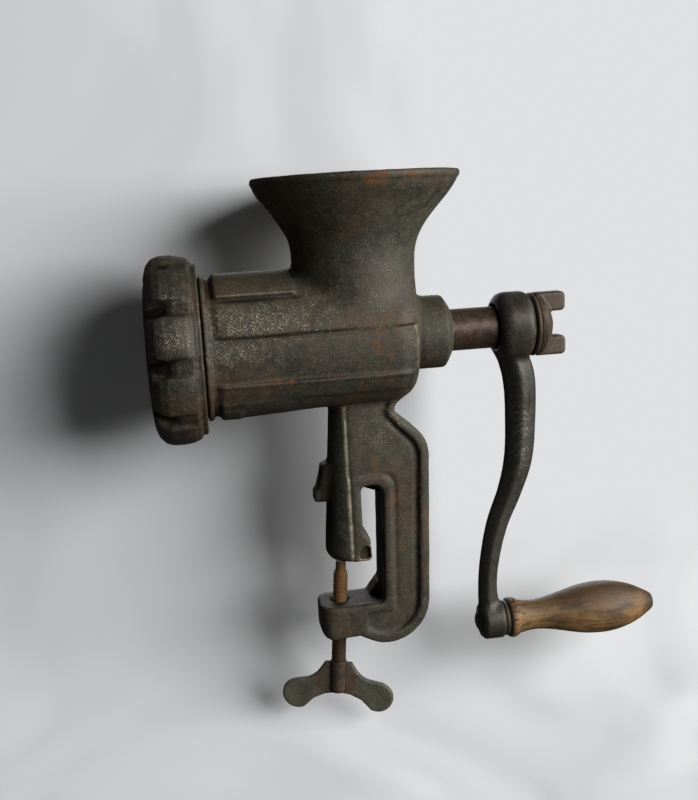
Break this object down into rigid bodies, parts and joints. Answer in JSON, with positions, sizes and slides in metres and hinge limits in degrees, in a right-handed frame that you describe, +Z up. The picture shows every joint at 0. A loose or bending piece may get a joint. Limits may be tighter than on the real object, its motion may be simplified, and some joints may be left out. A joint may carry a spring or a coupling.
{
  "type": "meat grinder",
  "caption": "Hand crank meat grinder: flared hopper on a barrel with feed screw, knife, hole plate and ring nut, a crank with a wooden grip, and a screw clamp for a table edge.",
  "frame": {"origin": "where the clamp screw's axis meets the underside of the upper jaw, which rests on the table top", "axes": "+X along the barrel from the hole plate to the crank, +Y to the far side, +Z up to the hopper"},
  "size_m": [0.2697, 0.1082, 0.2921],
  "materials": {
    "cast_iron": "rough, worn and lightly rusted",
    "dark_steel": "dark, smooth and worn",
    "worn_steel": "dull and scratched",
    "rusty_steel": "rusted",
    "olive_iron": "worn",
    "brass": "dull",
    "wood": "oiled and worn"
  },
  "bodies": {
    "housing": {"body_casting": "cast_iron", "rear_bush": "brass", "plate_key_pin": "worn_steel"},
    "plate": {"hole_plate": "worn_steel"},
    "ring": {"ring_nut": "cast_iron"},
    "rotor": {"feed_screw": "cast_iron", "knife_stud": "dark_steel", "cross_knife": "worn_steel", "thrust_washer": "worn_steel", "crank_arm": "dark_steel", "handle_pin": "dark_steel", "handle_washer": "worn_steel", "grip_end_washer": "worn_steel"},
    "grip": {"handle_grip": "wood"},
    "crank_washer": {"crank_washer": "dark_steel"},
    "crank_screw": {"crank_screw": "dark_steel"},
    "clamp_screw": {"clamp_screw": "rusty_steel"},
    "clamp_wing": {"clamp_wing": "olive_iron"}
  },
  "joints": [
    {"name": "crank_turn", "type": "hinge", "parent": "housing", "child": "rotor", "pos_m": [0, 0, 0.1184], "axis": [1, 0, 0], "continuous": true},
    {"name": "grip_turn", "type": "hinge", "parent": "rotor", "child": "grip", "pos_m": [0.1, 0, -0.0466], "axis": [1, 0, 0], "continuous": true},
    {"name": "ring_turn", "type": "hinge", "parent": "plate", "child": "ring", "pos_m": [-0.08, 0, 0.1184], "axis": [-1, 0, 0], "range_deg": [0, 1800]},
    {"name": "plate_slide", "type": "slide", "parent": "housing", "child": "plate", "axis": [-1, 0, 0], "range_m": [0, 0.015]},
    {"name": "crank_screw_turn", "type": "hinge", "parent": "crank_washer", "child": "crank_screw", "pos_m": [0.11, 0, 0.1184], "axis": [1, 0, 0], "range_deg": [0, 2880]},
    {"name": "washer_slide", "type": "slide", "parent": "rotor", "child": "crank_washer", "axis": [1, 0, 0], "range_m": [0, 0.012]},
    {"name": "wing_turn", "type": "hinge", "parent": "clamp_screw", "child": "clamp_wing", "pos_m": [-0.00614, 0, -0.07976], "axis": [-0.0767, 0, -0.9971], "range_deg": [-600, 5400]},
    {"name": "clamp_slide", "type": "slide", "parent": "housing", "child": "clamp_screw", "axis": [-0.0767, 0, -0.9971], "range_m": [-0.0021, 0.019]}
  ],
  "couplings": [
    {"joint": "plate_slide", "follows": "ring_turn", "m_per_rad": 0.00047746},
    {"joint": "washer_slide", "follows": "crank_screw_turn", "m_per_rad": 0.00023873},
    {"joint": "clamp_slide", "follows": "wing_turn", "m_per_rad": 0.00019894}
  ]
}
